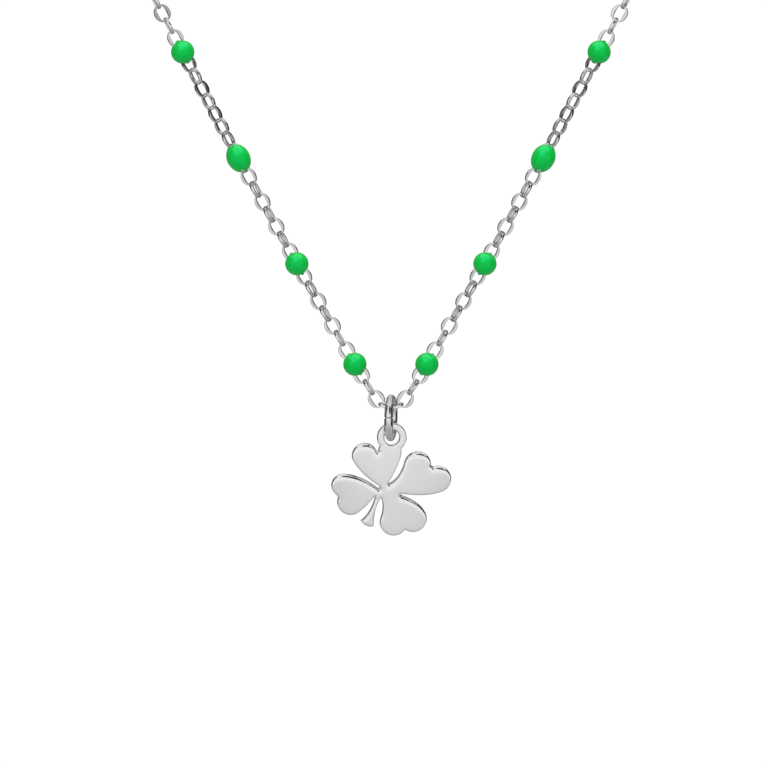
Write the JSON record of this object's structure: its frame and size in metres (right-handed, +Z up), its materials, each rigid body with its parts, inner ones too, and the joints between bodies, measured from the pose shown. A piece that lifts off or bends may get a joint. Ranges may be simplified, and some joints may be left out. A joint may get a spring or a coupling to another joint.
{
  "type": "four leaf clover pendant",
  "caption": "Polished clover charm with heart shaped leaves and a stem, hanging by a jump ring from a fine link chain set with green enamel beads, closed by a plain ring clasp.",
  "frame": {"origin": "middle of the closed clasp at the back of the neck, where the necklace hangs", "axes": "+Z up, -Y to the front where the clover hangs, +X to the right as seen from the front"},
  "size_m": [0.104, 0.0985, 0.1298],
  "materials": {
    "silver": "polished",
    "green_enamel": "glossy"
  },
  "bodies": {
    "necklace": {"chain": "silver", "clasp": "silver", "end_ring_left": "silver", "end_ring_right": "silver", "bead_right_01": "green_enamel", "bead_right_02": "green_enamel", "bead_right_03": "green_enamel", "bead_right_04": "green_enamel", "bead_right_05": "green_enamel", "bead_right_06": "green_enamel", "bead_right_07": "green_enamel", "bead_right_08": "green_enamel", "bead_right_09": "green_enamel", "bead_right_10": "green_enamel", "bead_right_11": "green_enamel", "bead_right_12": "green_enamel", "bead_right_13": "green_enamel", "bead_left_01": "green_enamel", "bead_left_02": "green_enamel", "bead_left_03": "green_enamel", "bead_left_04": "green_enamel", "bead_left_05": "green_enamel", "bead_left_06": "green_enamel", "bead_left_07": "green_enamel", "bead_left_08": "green_enamel", "bead_left_09": "green_enamel", "bead_left_10": "green_enamel", "bead_left_11": "green_enamel", "bead_left_12": "green_enamel", "bead_left_13": "green_enamel"},
    "ring": {"jump_ring": "silver"},
    "pendant": {"clover": "silver"}
  },
  "joints": [
    {"name": "ring_swing", "type": "hinge", "parent": "necklace", "child": "ring", "pos_m": [0, -0.09375, -0.11195], "axis": [0.9925, -0.1219, 0], "range_deg": [-60, 60]},
    {"name": "clover_swing", "type": "hinge", "parent": "ring", "child": "pendant", "pos_m": [0, -0.09375, -0.11435], "axis": [0.1219, 0.9925, 0], "range_deg": [-45, 45]}
  ]
}
